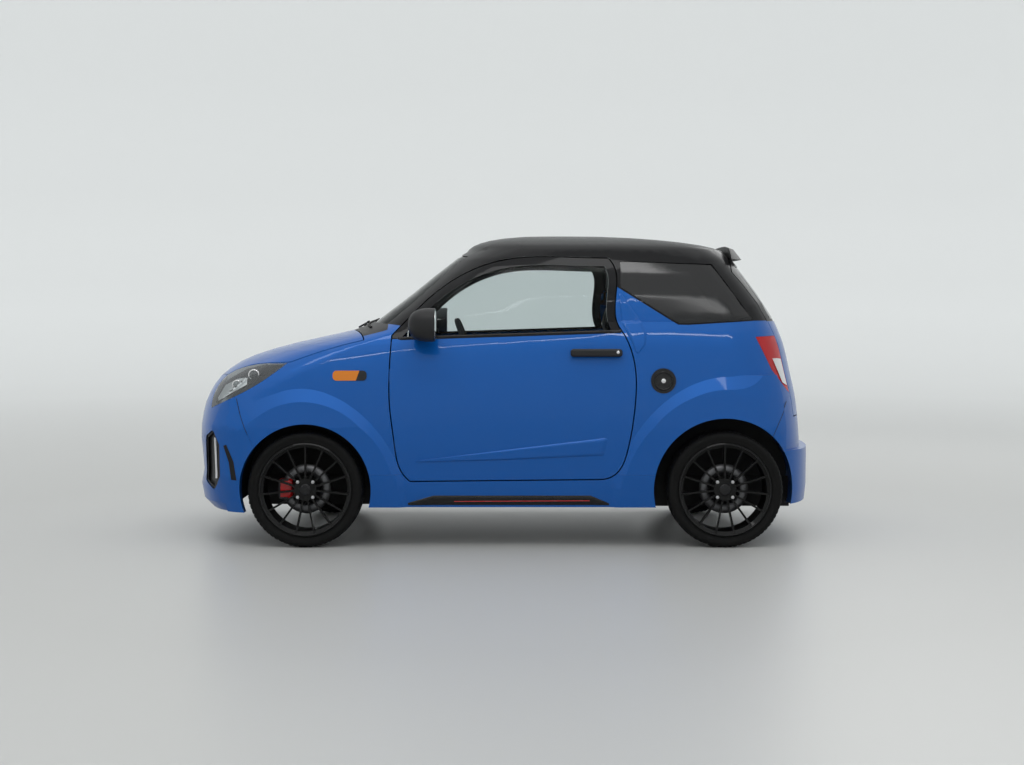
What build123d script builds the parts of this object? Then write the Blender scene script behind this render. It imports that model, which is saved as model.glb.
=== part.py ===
"""Two-seat microcar: hollow body in panels, doors, bonnet, tailgate, running gear and cabin.

Millimetres. X points forward, Y to the car's left, Z up from the ground.
"""
import math
import os

from build123d import *

# Driving dimensions
LENGTH = 3000.0
DRAWN_LENGTH = 3000.0
STRETCH = LENGTH / DRAWN_LENGTH
FRONT = LENGTH / 2
REAR = -LENGTH / 2
FRONT_AXLE = 926.0 * STRETCH
REAR_AXLE = -1025.0 * STRETCH
TYRE_RADIUS = 269.0
TYRE_WIDTH = 165.0
WHEEL_Y = 640.0
KINGPIN_Y = 606.0
FRONT_ARCH_RADIUS = TYRE_RADIUS + 37.0
REAR_ARCH_RADIUS = TYRE_RADIUS + 64.0
LINER_GAP = 4.0
LINER_WALL = 9.0
FRONT_LINER_Y = 396.0
REAR_LINER_Y = 470.0
FLARE_OUT = 22.0
FLARE_RUN = 46.0
SIDE_WALL = 42.0
FRAME_WALL = 36.0
DOOR_FRAME_WALL = 26.0
DOOR_GAP = 6.0
BONNET_GAP = 6.0
SEAM = 0.6
SEAT = 0.3
BELT_Z = 1048.0
FLOOR_Z = 205.0

# X values below are drawn for DRAWN_LENGTH and stretch with LENGTH

# Body waterlines: height, nose setback, nose length, half width at front, middle and rear,
# tail length, tail setback
LOWER = [
    (150, 62, 330, 690, 692, 690, 320, 60),
    (200, 10, 350, 702, 703, 702, 360, 46),
    (330, 11, 345, 713, 716, 715, 400, 38),
    (560, 0, 350, 722, 728, 726, 406, 44),
    (700, 36, 390, 711, 724, 720, 393, 61),
    (800, 110, 440, 696, 715, 709, 376, 84),
    (880, 250, 460, 681, 704, 697, 360, 101),
    (950, 495, 365, 664, 692, 684, 338, 120),
    (1001, 735, 270, 646, 678, 670, 320, 140),
    (1060, 880, 250, 622, 659, 652, 306, 166),
]
LOWER_HEIGHTS = [150, 200, 265, 335, 410, 485, 550, 605, 655, 700, 740, 780, 815, 850, 880, 910, 940, 970, 1005, 1028,
                 BELT_Z]
FLARE_HEIGHTS = [150, 330, 560, 700, 800]
INNER_HEIGHTS = [150, 330, 560, 700, 800, 880, 950, 1005]
UPPER = [
    (955, 735, 265, 655, 668, 640, 268, 150),
    (1020, 815, 264, 643, 659, 632, 266, 152),
    (1133, 969, 260, 619, 637, 610, 262, 208),
    (1225, 1083, 254, 595, 613, 587, 259, 272),
    (1317, 1198, 248, 563, 580, 554, 256, 340),
    (1357, 1250, 250, 544, 562, 534, 260, 370),
]
UPPER_HEIGHTS = [955, 1020, 1133, 1225, 1280, 1317, 1340, 1357]
GLASS_HEIGHTS = [955, 1070, 1180, 1275, 1357]
UPPER_INNER_HEIGHTS = [955, 1133, 1225, 1317, 1345]
ROOF_EDGE_Z = 1375.0
ROOF_RISE = 99.0
ROOF_HALF_LENGTH = 650.0
ROOF_HALF_WIDTH = 552.0
ROOF_ANGLES = [10, 19, 28, 38, 48, 58, 69, 80]
ROOF_INNER_ANGLES = [10, 30, 52, 78]
ROOF_RAIL_Y = 400.0
LOWER_FULLNESS = (0.66, 0.69)
UPPER_FULLNESS = (0.68, 0.70)

# Side-view outlines of the left-hand panels, as X and Z
DOOR_FRONT = [(527, 985), (536, 820), (532, 640), (512, 490), (484, 363), (438, 308)]
DOOR_REAR = [(-442, 317), (-520, 345), (-572, 456), (-604, 641), (-609, 826), (-581, 942), (-535, 1025)]
DOOR_PILLAR = [(-535, 1025), (-521, 1150), (-521, 1300), (-490, 1350)]
DOOR_TOP = [(-490, 1350), (-164, 1357), (21, 1338), (160, 1291), (299, 1208), (414, 1105), (527, 985)]
WINDOW_FRAME = 34.0
WINDOW_BELT = [(560, 968), (-560, 1004)]
BUMPER_SEAM = [(1262, 730), (1226, 610), (1174, 493), (1130, 380), (1120, 140)]
HEADLAMP_TOP = [(1392, 640), (1345, 780), (1225, 842), (1109, 865), (1007, 863)]
HEADLAMP_BOTTOM = [(1007, 863), (1086, 803), (1178, 743), (1248, 706), (1308, 678), (1392, 640)]
KICK_UP = [(-500, 1231), (-546, 1202), (-812, 1035), (-862, 1034), (-1181, 1053), (-1420, 1053)]
QUARTER_GLASS = [(-547, 1335), (-985, 1322), (-1171, 1059), (-862, 1042), (-815, 1043), (-547, 1211)]
TAIL_LAMP = [(-1177, 978), (-1500, 990), (-1500, 640), (-1382, 683), (-1335, 730), (-1256, 823)]
REAR_BUMPER_SEAM = [(-1550, 692), (-1342, 692), (-1266, 548), (-1215, 440), (-1215, 100), (-1550, 100)]
SILL_TOP_Z = 340.0
SILL_BOTTOM_Z = 187.0

# Top-view outline of the bonnet, as X and Y of its left half
BONNET_REAR = [(752, 0), (728, 330), (662, 648)]
BONNET_EDGE = [(1000, 648), (1110, 592), (1225, 502), (1330, 424)]
BONNET_NOSE = [(1330, 424), (1384, 230), (1398, 0)]

# Rear-view outline of the tailgate, as Y and Z of its left half
TAILGATE = [(0, 600), (498, 600), (512, 800), (512, 1010), (478, 1330), (470, 1500), (0, 1500)]
TAILGATE_FRONT_X = -1090.0
TAILGATE_GLASS = [(0, 1062), (444, 1062), (392, 1314), (0, 1314)]
WINDSCREEN = [(0, 1012), (566, 1012), (453, 1264), (402, 1364), (0, 1382)]

# Small features, as X and Z
GRILLE = [(0, 234), (296, 234), (344, 300), (326, 388), (0, 392)]
FOG = [(1372, 275), (1412, 300), (1405, 500), (1372, 525), (1345, 470), (1343, 330)]
FUEL_CAP = (-738.0 * STRETCH, 775.0)
FUEL_CAP_RADIUS = 58.0

# Running gear and cabin
BEAD = TYRE_RADIUS - 66.0
DISC_RADIUS = 115.0
SPINDLE = 17.0
SPOKES = 15
SPOKE_WIDTH = 9.0
DRIVER_Y = 320.0
COLUMN_END = (205.0 * STRETCH, DRIVER_Y, 885.0)
COLUMN_AXIS = (-0.93, 0.0, 0.37)


def blend(table, z):
    """Row of a waterline table at height z, by a cubic through its rows."""
    i = max(k for k in range(len(table) - 1) if table[k][0] <= z)
    low, high = table[i], table[i + 1]
    span = high[0] - low[0]
    t = (z - low[0]) / span

    def slope(k, column):
        a = table[max(k - 1, 0)]
        b = table[k]
        c = table[min(k + 1, len(table) - 1)]
        before = (b[column] - a[column]) / (b[0] - a[0]) if k else None
        after = (c[column] - b[column]) / (c[0] - b[0]) if c is not b else None
        if before is None or after is None:
            return after if before is None else before
        weight = (c[0] - b[0]) / (c[0] - a[0])
        return before * weight + after * (1 - weight)

    row = [z]
    for column in range(1, len(low)):
        row.append((2 * t**3 - 3 * t**2 + 1) * low[column]
                   + (t**3 - 2 * t**2 + t) * span * slope(i, column)
                   + (3 * t**2 - 2 * t**3) * high[column]
                   + (t**3 - t**2) * span * slope(i + 1, column))
    return row


def waterline(row, fullness, z=None, side=0.0, nose=0.0, tail=0.0):
    """Closed plan outline of the body at one height, moved in by the given wall thicknesses."""
    height, setback, nose_length, front_y, middle_y, rear_y, tail_length, tail_setback = row
    z = height if z is None else z
    tip = FRONT - setback * STRETCH - nose
    end = REAR + tail_setback * STRETCH + tail
    x_front = FRONT - (setback + nose_length) * STRETCH
    x_rear = REAR + (tail_setback + tail_length) * STRETCH
    front_y, middle_y, rear_y = front_y - side, middle_y - side, rear_y - side
    run = x_front - x_rear
    bulge = middle_y - (front_y + rear_y) / 2
    front_slope = (front_y - rear_y - 4 * bulge) / run
    rear_slope = (front_y - rear_y + 4 * bulge) / run
    nose_arm = fullness[0] * (tip - x_front)
    tail_arm = fullness[1] * (end - x_rear)
    half = [
        [(tip, 0), (tip, fullness[0] * front_y), (x_front + nose_arm, front_y + front_slope * nose_arm),
         (x_front, front_y)],
        [(x_front, front_y), (x_front - run / 3, front_y - front_slope * run / 3),
         (x_rear + run / 3, rear_y + rear_slope * run / 3), (x_rear, rear_y)],
        [(x_rear, rear_y), (x_rear + tail_arm, rear_y + rear_slope * tail_arm),
         (end, fullness[1] * rear_y), (end, 0)],
    ]
    other = [[(x, -y) for x, y in reversed(poles)] for poles in reversed(half)]
    return make_face([Bezier(*[Vector(x, y, z) for x, y in poles]) for poles in half + other])


def nose_wall(z):
    """Thickness of the nose along X: more where the bonnet lies flat."""
    return 48 + 76 * min(max((z - 740) / 140, 0), 1)


def lower_body(side=0.0, tail=0.0, heights=LOWER_HEIGHTS, nose=None, first_z=None):
    """Loft of the body below the belt; nose gives the nose's thickness at a height."""
    faces = []
    for z in heights:
        front = nose(z) if nose else side
        at = first_z if first_z is not None and z == heights[0] else z
        faces.append(waterline(blend(LOWER, z), LOWER_FULLNESS, at, side, front, tail))
    return loft(faces, ruled=True)


def levels(low, high):
    """Heights of the body's skin between two limits."""
    return [z for z in LOWER_HEIGHTS if low <= z <= high]


def roof_rows(side, nose, drop, angles):
    """Waterlines of the domed roof, as slices of a half ellipsoid."""
    rows = []
    for angle in angles:
        s = math.sin(math.radians(angle))
        c = math.cos(math.radians(angle))
        centre = -455 + 185 * s * s
        half_length = (ROOF_HALF_LENGTH - nose) * c
        half_width = (ROOF_HALF_WIDTH - side) * c
        arm = 0.42 * half_length
        rows.append((ROOF_EDGE_Z - drop + ROOF_RISE * s, DRAWN_LENGTH / 2 - centre - half_length, arm,
                     0.95 * half_width, half_width, 0.94 * half_width, arm,
                     centre - half_length + DRAWN_LENGTH / 2))
    return rows


def upper_body(side=0.0, nose=0.0, tail=0.0, drop=0.0, heights=UPPER_HEIGHTS, angles=ROOF_ANGLES):
    """Loft of the glasshouse and roof."""
    faces = [waterline(blend(UPPER, z), UPPER_FULLNESS, None, side, nose, tail) for z in heights]
    faces += [waterline(row, UPPER_FULLNESS) for row in roof_rows(side, nose, drop, angles)]
    return loft(faces, ruled=True)


def run_edge(points):
    """Straight edge through two points, or a smooth one through more."""
    return Line(*points) if len(points) == 2 else Spline(*points)


def side_face(*runs):
    """Face in the side view from runs of drawn X, Z points that follow each other."""
    return make_face([run_edge([Vector(x * STRETCH, 0, z) for x, z in run]) for run in runs])


def moved(face, grow):
    """Face with its outline moved out by a gap, or in where it is negative, its curves as plain splines."""
    if not grow:
        return face
    rim = offset(face, grow).faces()[0].outer_wire().order_edges()
    joints = [edge @ 1 for edge in rim]
    edges = []
    for start, edge, end in zip(joints[-1:] + joints, rim, joints):
        if edge.geom_type == GeomType.LINE:
            edges.append(Line(start, end))
        elif edge.geom_type == GeomType.CIRCLE:
            edges.append(ThreePointArc(start, edge @ 0.5, end))
        else:
            edges.append(Spline(start, *[edge @ (i / 8) for i in range(1, 8)], end))
    return make_face(edges)


def gear_polygon(points):
    """Side-view face from true X, Z points."""
    return make_face(Polyline(*[Vector(x, 0, z) for x, z in points], close=True))


def side_polygon(points):
    """Side-view face from drawn X, Z points."""
    return gear_polygon([(x * STRETCH, z) for x, z in points])


def across(face, inner=0.0, outer=900.0):
    """Prism of a side-view face, from inner to outer Y."""
    return extrude(Pos(0, inner, 0) * face, outer - inner, dir=(0, 1, 0))


def lengthways(points, start, end):
    """Prism between drawn X values of a rear-view outline given by its left half's Y, Z points."""
    start, end = start * STRETCH, end * STRETCH
    left = [Vector(start, y, z) for y, z in points]
    right = [Vector(start, -y, z) for y, z in reversed(points) if y > 0]
    return extrude(make_face(Polyline(*left, *right, close=True)), end - start, dir=(1, 0, 0))


def box(x, y, z):
    """Box from pairs of limits, with drawn X values."""
    return gear_box((x[0] * STRETCH, x[1] * STRETCH), y, z)


def gear_box(x, y, z):
    """Box from pairs of limits."""
    return Pos((x[0] + x[1]) / 2, (y[0] + y[1]) / 2, (z[0] + z[1]) / 2) * Box(
        x[1] - x[0], y[1] - y[0], z[1] - z[0])


def rod(start, end, radius):
    """Round bar between two points."""
    start, end = Vector(*start), Vector(*end)
    return extrude(Plane(origin=start, z_dir=end - start) * Circle(radius), (end - start).length)


def axle_drum(x, radius, inner, outer, z=TYRE_RADIUS):
    """Cylinder round a wheel's axis between two Y values."""
    return rod((x, inner, z), (x, outer, z), radius)


def flipped(shape):
    """Copy on the car's right-hand side."""
    return mirror(shape, about=Plane.XZ)


def one(shape):
    """Largest solid of a shape."""
    return max(shape.solids(), key=lambda s: s.volume)


def turned(profile, x, y=0.0):
    """Solid of revolution round a wheel's axis from radius, Y points."""
    face = make_face(Polyline(*[Vector(x, y + along, TYRE_RADIUS + radius) for radius, along in profile], close=True))
    return revolve(face, Axis((x, 0, TYRE_RADIUS), (0, 1, 0)))


def flare(x, radius, reach, grown):
    """Arch flare on the left: a cone round the wheel opening, held near the body's skin."""
    slope = FLARE_OUT / FLARE_RUN
    crest = radius + reach - FLARE_RUN
    ring = turned([(radius - 6, 640), (radius - 6, 790), (crest - 42 / slope, 790),
                   (radius + reach + 84 / slope, 640)], x)
    return ring & grown


def body_shells():
    """Lower wall with flares, and glasshouse wall."""
    upper_solid = upper_body()
    upper = upper_solid - upper_body(FRAME_WALL, 56, 50, 34, UPPER_INNER_HEIGHTS, ROOF_INNER_ANGLES)

    skin = lower_body()
    grown = lower_body(-FLARE_OUT, -FLARE_OUT, FLARE_HEIGHTS)
    for x, radius, reach in ((FRONT_AXLE, FRONT_ARCH_RADIUS, 128), (REAR_AXLE, REAR_ARCH_RADIUS, 160)):
        piece = flare(x, radius, reach, grown)
        skin = skin + piece + flipped(piece)
    for x, radius in ((FRONT_AXLE, FRONT_ARCH_RADIUS), (REAR_AXLE, REAR_ARCH_RADIUS)):
        drum = axle_drum(x, radius, 380, 800)
        skin = skin - drum - flipped(drum)
    lower = skin - lower_body(SIDE_WALL, 46, INNER_HEIGHTS, nose_wall, 100) - upper_solid
    return lower, upper


def bonnet_face(grow=0.0):
    """Top-view face of the bonnet, grown by a gap."""
    def edge(points, sign):
        return run_edge([Vector(x * STRETCH, sign * y, 0) for x, y in points])

    runs = [BONNET_REAR, [BONNET_REAR[-1], BONNET_EDGE[0]], BONNET_EDGE, BONNET_NOSE]
    edges = [edge(run, sign) for sign in (1, -1) for run in runs]
    return moved(make_face(edges), grow)


def bonnet_prism(grow=0.0):
    return extrude(Pos(0, 0, 700) * bonnet_face(grow), 500, dir=(0, 0, 1))


def door_face(grow=0.0):
    bottom = [DOOR_FRONT[-1], DOOR_REAR[0]]
    return moved(side_face(DOOR_FRONT, bottom, DOOR_REAR, DOOR_PILLAR, DOOR_TOP), grow)


def window_face(grow=0.0):
    """Opening of the door window."""
    (x0, z0), (x1, z1) = WINDOW_BELT
    above = side_polygon([(x0, z0), (x1, z1), (x1, 1500), (x0, 1500)])
    face = door_face(-DOOR_GAP - WINDOW_FRAME) & above
    return moved(face, grow)


def headlamp_prism(grow=0.0):
    return across(moved(side_face(HEADLAMP_TOP, HEADLAMP_BOTTOM), grow), 300)


def grown_polygon(points, grow):
    return moved(side_polygon(points), grow)


def tail_lamp_prism(grow=0.0):
    return across(grown_polygon(TAIL_LAMP, grow), 520 - grow)


def bumper_prism(grow=0.0):
    """Space of the front bumper, ahead of its seam."""
    front = [(1700, 140), (1700, 900), (BUMPER_SEAM[0][0], 900)]
    runs = [BUMPER_SEAM, [BUMPER_SEAM[-1], front[0]], front[:2], front[1:], [front[-1], BUMPER_SEAM[0]]]
    return across(moved(side_face(*runs), grow), -900)


def rear_bumper_prism(grow=0.0):
    return across(grown_polygon(REAR_BUMPER_SEAM, grow), -900)


def quarter_space():
    """Side-view space of the left quarter, up to its kick-up line."""
    return across(side_polygon(KICK_UP + [(-1550, 1053), (-1550, SILL_TOP_Z), (-430, SILL_TOP_Z)]))


def grow_outline(points, gap):
    """Rear-view outline moved out by about a gap."""
    return [(y + (gap if y else 0), z + (gap if z > 1000 else -gap)) for y, z in points]


def tailgate_prism(gap=0.0):
    return lengthways(grow_outline(TAILGATE, gap), -1600, TAILGATE_FRONT_X + gap)


def glass_layer():
    """Thin skin set a little into the glasshouse wall."""
    outer = upper_body(3, 5, 4, 3, GLASS_HEIGHTS, ROOF_INNER_ANGLES)
    return outer - upper_body(9, 14, 11, 9, GLASS_HEIGHTS, ROOF_INNER_ANGLES)


def doors(shell, layer):
    """Left door, its glass, mirror and handle."""
    panel = one(shell & across(door_face(-DOOR_GAP / 2), 300))
    panel = one(panel - across(window_face(), 300))
    inner = upper_body(DOOR_FRAME_WALL, 46, 40, 24, UPPER_INNER_HEIGHTS, ROOF_INNER_ANGLES)
    panel = one(panel - inner)
    glass = one(layer & across(window_face(-SEAT), 300))
    grip_x, grip_z = -425 * STRETCH, 905
    recess = Pos(grip_x, 738, grip_z) * Rot(90, 0, 0) * extrude(Ellipse(88, 34), 12, both=True)
    panel = one(panel - recess)
    bar = gear_box((grip_x - 122, grip_x + 118), (700, 741), (grip_z - 18, grip_z + 18))
    bar = fillet(bar.edges().filter_by(Axis.Y), 14)
    bar = chamfer(bar.faces().sort_by(Axis.Y)[-1].edges(), 7)
    handle = one(bar - lower_body(-SEAT, -SEAT, levels(815, 970)))
    return panel, glass, handle


def mirror_housing(door, glass):
    """Left door mirror: rounded shell on a foot at the window's front corner."""
    faces = []
    for x, width, height, corner in ((442, 92, 78, 34), (388, 176, 156, 62)):
        plane = Plane(origin=(x * STRETCH, 802, 1036), x_dir=(0, 1, 0), z_dir=(-1, 0, 0))
        faces.append(plane * RectangleRounded(width, height, corner))
    shell = loft(faces, ruled=True) + extrude(faces[-1], 70)
    foot = Pos(392 * STRETCH, 700, 985) * Box(70, 110, 34)
    return one((shell + foot) - door - glass)


def hinge_pads(heights):
    """Hinge leaves between the fender's edge and the left door, short of the door by the seat."""
    pads = [box((460, 570), (672, 692), (z - 28, z + 28)) for z in heights]
    return [pad - across(door_face(SEAT - DOOR_GAP / 2), 300) for pad in pads]


def fender(front):
    """Left front fender with its flare and the door's hinge leaves."""
    piece = front & box((400, 1300), (0, 900), (SILL_TOP_Z, 1060))
    piece = piece - across(door_face(DOOR_GAP / 2), 300) - bumper_prism(SEAM / 2) - bonnet_prism(BONNET_GAP)
    piece = one(piece - headlamp_prism(SEAM) - cowl_space(SEAM))
    for pad in hinge_pads((470, 800)):
        piece = piece + pad
    return one(piece)


def cowl_space(grow=0.0):
    return box((550, 800), (-620 - grow, 620 + grow), (880, 1080))


def cowl(front):
    """Scuttle panel between bonnet and windscreen, with the bonnet's hinge pads."""
    panel = one((front & cowl_space()) - bonnet_prism(BONNET_GAP))
    for side in (1, -1):
        pad = box((685, 740), (side * 420 - 20, side * 420 + 20), (955, 976))
        panel = panel + (pad - bonnet_prism(SEAT))
    return one(panel)


def sill(lower):
    piece = lower & box((-760, 660), (0, 900), (SILL_BOTTOM_Z, SILL_TOP_Z - SEAM))
    return one(piece - across(door_face(DOOR_GAP / 2), 300))


def quarter(shell):
    """Left rear quarter with its flare, kick-up and fuel-cap recess."""
    piece = (shell & quarter_space()) - across(door_face(DOOR_GAP / 2), 300) - tail_lamp_prism(SEAM)
    piece = one(piece - rear_bumper_prism(SEAM / 2) - tailgate_prism(DOOR_GAP))
    return piece - rod((FUEL_CAP[0], 706, FUEL_CAP[1]), (FUEL_CAP[0], 760, FUEL_CAP[1]), FUEL_CAP_RADIUS + SEAT)


def roof_frame(upper):
    """Roof panel, left side frame with its pillars, and the rail under the windscreen."""
    frame = upper - box((-430, 900), (-900, 900), (900, 985)) - lengthways(WINDSCREEN, 60, 900)
    for cut in (quarter_space(), across(door_face(DOOR_GAP / 2), 300), across(side_polygon(QUARTER_GLASS), 300)):
        frame = frame - cut - flipped(cut)
    frame = frame - tailgate_prism(DOOR_GAP)
    side = one(frame & box((-1600, 1600), (ROOF_RAIL_Y + SEAM / 2, 900), (900, 1600)))
    middle = box((-1600, 1600), (SEAM / 2 - ROOF_RAIL_Y, ROOF_RAIL_Y - SEAM / 2), (900, 1600))
    pieces = sorted((frame & middle).solids(), key=lambda solid: solid.volume)
    return pieces[-1], side, pieces[-2]


def tailgate(shell, layer):
    """Tailgate panel and its glass."""
    panel = one((shell & tailgate_prism()) - lengthways(TAILGATE_GLASS, -1600, -1000))
    inner = [(max(y - SEAT, 0), z + (SEAT if z < 1200 else -SEAT)) for y, z in TAILGATE_GLASS]
    glass = one(layer & lengthways(inner, -1600, -1000))
    return panel, glass


def spoiler():
    """Roof spoiler over the top of the tailgate: the roof's form carried back."""
    wing = upper_body(-10, -58, -52, -10, UPPER_HEIGHTS[4:]) - upper_body(-SEAT, -SEAT, -SEAT, -SEAT)
    space = across(side_polygon([(-1093, 1500), (-1260, 1500), (-1260, 1366), (-1160, 1349), (-1093, 1349)]), -440, 440)
    return one(wing & space)


def rear_bumper(lower):
    """Rear bumper with its shelf."""
    shelf = lower_body(0, -36, [190, 260, 330, 400, 442]) - lower_body(SIDE_WALL, 46, INNER_HEIGHTS, None, 100)
    drum = axle_drum(REAR_AXLE, REAR_ARCH_RADIUS, 380, 800)
    shelf = (shelf & rear_bumper_prism(-SEAM / 2)) - drum - flipped(drum)
    piece = (lower & rear_bumper_prism(-SEAM / 2)) - box((-1700, -1000), (-900, 900), (100, 189))
    piece = piece - tailgate_prism(DOOR_GAP) - tail_lamp_prism(SEAM) - flipped(tail_lamp_prism(SEAM))
    return one(piece + shelf)


def tail_lamp(shell):
    return one((shell & tail_lamp_prism(-SEAM / 2)) - tailgate_prism(DOOR_GAP))


def windscreen(layer):
    inner = [(max(y - SEAT, 0), z + (SEAT if z < 1100 else -SEAT)) for y, z in WINDSCREEN]
    return one(layer & lengthways(inner, 60, 900))


def quarter_glass(layer):
    return one(layer & across(moved(side_polygon(QUARTER_GLASS), -SEAT), 300))


def side_indicator():
    """Left indicator on the fender's skin."""
    blank = box((641, 799), (600, 800), (776, 822))
    blank = fillet(blank.edges().filter_by(Axis.Y), 18)
    skin = lower_body(-4, 0, levels(740, 850)) - lower_body(-SEAT, 0, levels(740, 850))
    return one(blank & skin)


def fuel_cap():
    return rod((FUEL_CAP[0], 706 + SEAT, FUEL_CAP[1]), (FUEL_CAP[0], 724, FUEL_CAP[1]), FUEL_CAP_RADIUS)


def front_end(lower):
    """Front bumper, left headlamp and the black inserts in the bumper's openings."""
    piece = (lower & bumper_prism(-SEAM / 2)) - bonnet_prism(BONNET_GAP) - box((900, 1700), (-900, 900), (100, 160))
    piece = piece - headlamp_prism(SEAM) - flipped(headlamp_prism(SEAM))
    lamp = one((lower & headlamp_prism(-SEAM / 2)) - bonnet_prism(BONNET_GAP))
    mouth = lengthways(GRILLE, 1250, 1600)
    bezel = across(moved(side_polygon(FOG), 14), 430)
    piece = one(piece - mouth - bezel - flipped(bezel))
    return piece, lamp


def inserts():
    """Grille and lamp bezels: slats in a rim, set into the bumper's openings."""
    layer = lower_body(6, 6, levels(200, 605)) - lower_body(28, 28, levels(200, 605))
    mouth = layer & lengthways([(max(y - SEAT, 0), z + (SEAT if z < 300 else -SEAT)) for y, z in GRILLE], 1250, 1600)
    rim = 14
    hole = lengthways([(max(y - rim, 0), z + (rim if z < 300 else -rim)) for y, z in GRILLE], 1250, 1600)
    slats = [box((1250, 1600), (-330, 330), (z - 5, z + 5)) for z in range(262, 380, 26)]
    bars = [box((1250, 1600), (y - 5, y + 5), (230, 395)) for y in range(-240, 241, 120)]
    open_area = hole
    for solid in slats + bars:
        open_area = open_area - solid
    grille = one(mouth - open_area)
    fog = one(layer & across(moved(side_polygon(FOG), 14 - SEAT), 430))
    dish = across(moved(side_polygon(FOG), 2), 430) & lower_body(-2, -2, levels(200, 605))
    fog = one(fog - (dish - lower_body(18, 18, levels(200, 605))))
    return grille, fog


def cavity(extra=SEAT):
    """Inside of the body below the belt, short of the walls."""
    return lower_body(SIDE_WALL + extra, 46 + extra, INNER_HEIGHTS, lambda z: nose_wall(z) + extra, 100)


def floor_pan(inside):
    """Floor, bulkhead, tunnel, heel wall and raised boot floor in one pressing."""
    pan = box((-700, 640), (-690, 690), (FLOOR_Z, FLOOR_Z + 24))
    pan = pan + box((616, 640), (-690, 690), (FLOOR_Z, 900)) + box((-700, 616), (-75, 75), (FLOOR_Z, 300))
    pan = pan + box((-724, -700), (-690, 690), (FLOOR_Z, 430)) + box((-1480, -700), (-690, 690), (406, 430))
    for x, radius, inner in ((FRONT_AXLE, FRONT_ARCH_RADIUS, FRONT_LINER_Y), (REAR_AXLE, REAR_ARCH_RADIUS, REAR_LINER_Y)):
        drum = axle_drum(x, radius + LINER_GAP + LINER_WALL + SEAT, inner - SEAT, 800)
        pan = pan - drum - flipped(drum)
    return one(pan & inside)


def arch_liner(x, radius, inner_y, inside):
    """Inner arch over a left wheel, shut towards the car's middle above the axle."""
    low, high = radius + LINER_GAP, radius + LINER_GAP + LINER_WALL
    wall = inner_y + LINER_WALL
    ring = turned([(0, inner_y), (high, inner_y), (high, 720), (low, 720), (low, wall), (0, wall)], x)
    ring = (ring & inside) - gear_box((x - 2 * radius, x + 2 * radius), (300, 800), (0, 215))
    return one(ring - gear_box((x - low + 1, x + low - 1), (300, wall + SEAT), (0, TYRE_RADIUS + 42)))


def engine():
    """Engine and gearbox as one block, with the drive shafts."""
    block = gear_box((FRONT_AXLE - 206, FRONT_AXLE + 204), (-250, 250), (230, 610))
    block = chamfer(block.edges().filter_by(Axis.Y), 30)
    for side in (1, -1):
        block = block + rod((FRONT_AXLE, side * 240, TYRE_RADIUS), (FRONT_AXLE, side * 560, TYRE_RADIUS), 13)
        block = block + rod((FRONT_AXLE, side * 505, TYRE_RADIUS), (FRONT_AXLE, side * 565, TYRE_RADIUS), 32)
    return block


def subframe():
    """Front cross member under the engine, with legs to the floor and the lower arms."""
    frame = gear_box((FRONT_AXLE - 56, FRONT_AXLE + 54), (-345, 345), (165, 230 - SEAT))
    for side in (1, -1):
        leg = sorted((side * 250, side * 310))
        frame = frame + gear_box((560 * STRETCH, FRONT_AXLE - 26), leg, (165, FLOOR_Z - SEAT))
        for x in (-41, 59):
            frame = frame + rod((FRONT_AXLE + x, side * 330, 185), (FRONT_AXLE, side * KINGPIN_Y, 165), 13)
        frame = frame + rod((FRONT_AXLE, side * KINGPIN_Y, 148), (FRONT_AXLE, side * KINGPIN_Y, 180), 20)
    return frame


def knuckle():
    """Left steering knuckle with spindle and brake caliper."""
    upright = gear_box((FRONT_AXLE - 22, FRONT_AXLE + 22), (KINGPIN_Y - 16, KINGPIN_Y + 16), (180 + SEAT, 372))
    upright = upright + axle_drum(FRONT_AXLE, 42, KINGPIN_Y - 16, 632)
    spindle = axle_drum(FRONT_AXLE, SPINDLE, 620, 696)
    caliper = gear_box((FRONT_AXLE + 62, FRONT_AXLE + 128), (626, 680), (222, 316))
    caliper = fillet(caliper.edges().filter_by(Axis.Y), 16) - axle_drum(FRONT_AXLE, 120, 644, 664)
    bracket = gear_box((FRONT_AXLE + 10, FRONT_AXLE + 110), (612, 632), (236, 302))
    hub_space = axle_drum(FRONT_AXLE, 92, 664, 720) - axle_drum(FRONT_AXLE, SPINDLE, 664, 720)
    return one((upright + spindle + caliper + bracket) - hub_space)


def rear_axle():
    """Beam with trailing arms, end plates and stub spindles."""
    beam = gear_box((REAR_AXLE - 37, REAR_AXLE + 37), (-560, 560), (224, 284))
    beam = beam - gear_box((REAR_AXLE - 25, REAR_AXLE + 25), (-520, 520), (200, 272))
    pivot = REAR_AXLE + REAR_ARCH_RADIUS + 52
    for side in (1, -1):
        low, high = sorted((side * 404, side * 452))
        arm = gear_polygon([(REAR_AXLE - 25, 226), (REAR_AXLE - 25, 276), (pivot - 102, FLOOR_Z - SEAT),
                            (pivot, FLOOR_Z - SEAT), (pivot, 168), (pivot - 60, 168)])
        arm = across(arm, low, high)
        plate = axle_drum(REAR_AXLE, 70, side * 556, side * 606)
        beam = beam + arm + plate + axle_drum(REAR_AXLE, SPINDLE, side * 600, side * 696)
    return beam


def tyre(x, side):
    half = TYRE_WIDTH / 2
    inner = BEAD + SEAT
    bulge, crown = TYRE_RADIUS - 17, half - 22
    profile = [(inner, -70), (bulge, -half), (TYRE_RADIUS, -crown), (TYRE_RADIUS, crown), (bulge, half), (inner, 70)]
    return turned(profile, x, side * WHEEL_Y)


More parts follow.
